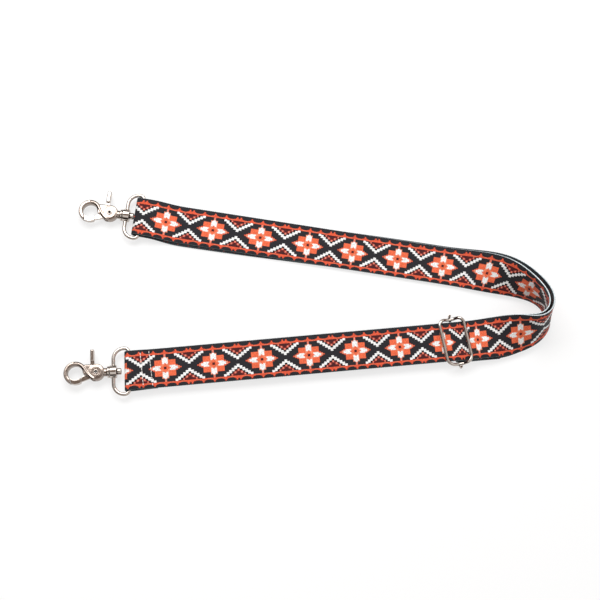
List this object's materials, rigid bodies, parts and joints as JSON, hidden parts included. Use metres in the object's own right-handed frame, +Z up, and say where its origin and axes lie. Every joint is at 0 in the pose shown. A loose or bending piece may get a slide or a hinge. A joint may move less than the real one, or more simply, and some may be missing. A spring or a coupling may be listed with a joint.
{
  "type": "detachable bag strap",
  "caption": "Detachable bag strap of patterned flat webbing with a wire slider and, at each end, a ring with a swivelling trigger clasp; it lies doubled.",
  "frame": {"origin": "on the table, under the middle of the strap's footprint as it lies", "axes": "+X from the clasps towards the bend, along the longest side of the footprint; +Y from the lower strand to the upper; +Z up"},
  "size_m": [0.4566, 0.2038, 0.0415],
  "materials": {
    "webbing": "woven jacquard, charcoal ground with orange-red and white",
    "nickel": "polished nickel plate",
    "spring_steel": "drawn wire"
  },
  "bodies": {
    "strap": {"webbing_upper_fold": "webbing", "webbing_upper_top": "webbing", "webbing_upper_under": "webbing", "webbing_bend_inner": "webbing", "webbing_bend_outer": "webbing", "webbing_lower_run": "webbing", "webbing_lower_fold": "webbing"},
    "slider": {"slider_frame": "nickel", "slider_centre_bar": "nickel", "webbing_slider_loop": "webbing"},
    "upper_ring": {"upper_ring": "nickel"},
    "upper_hook": {"upper_hook_body": "nickel", "upper_swivel_collar": "nickel", "upper_swivel_post": "nickel", "upper_gate_rivet": "nickel", "upper_gate_spring": "spring_steel"},
    "upper_gate": {"upper_gate": "nickel"},
    "lower_ring": {"lower_ring": "nickel"},
    "lower_hook": {"lower_hook_body": "nickel", "lower_swivel_collar": "nickel", "lower_swivel_post": "nickel", "lower_gate_rivet": "nickel", "lower_gate_spring": "spring_steel"},
    "lower_gate": {"lower_gate": "nickel"}
  },
  "joints": [
    {"name": "slider_slide", "type": "slide", "parent": "strap", "child": "slider", "axis": [-0.9957, -0.0924, 0], "range_m": [0, 0.26]},
    {"name": "upper_ring_hinge", "type": "hinge", "parent": "strap", "child": "upper_ring", "pos_m": [-0.16195, 0.07568, 0.0062], "axis": [0.1271, 0.9919, 0], "range_deg": [-90, 90]},
    {"name": "upper_swivel", "type": "hinge", "parent": "upper_ring", "child": "upper_hook", "pos_m": [-0.21124, 0.082, 0.0062], "axis": [0.9919, -0.1271, 0], "continuous": true},
    {"name": "upper_gate_hinge", "type": "hinge", "parent": "upper_hook", "child": "upper_gate", "pos_m": [-0.1921, 0.07954, 0.0062], "axis": [0, 0, -1], "range_deg": [0, 18], "stiffness_Nm_per_rad": 0.04, "springref_deg": -17.19},
    {"name": "lower_ring_hinge", "type": "hinge", "parent": "strap", "child": "lower_ring", "pos_m": [-0.16769, -0.07782, 0.0062], "axis": [-0.0523, 0.9986, 0], "range_deg": [-90, 90]},
    {"name": "lower_swivel", "type": "hinge", "parent": "lower_ring", "child": "lower_hook", "pos_m": [-0.21732, -0.08042, 0.0062], "axis": [0.9986, 0.0523, 0], "continuous": true},
    {"name": "lower_gate_hinge", "type": "hinge", "parent": "lower_hook", "child": "lower_gate", "pos_m": [-0.19805, -0.07941, 0.0062], "axis": [0, 0, -1], "range_deg": [0, 18], "stiffness_Nm_per_rad": 0.04, "springref_deg": -17.19}
  ]
}
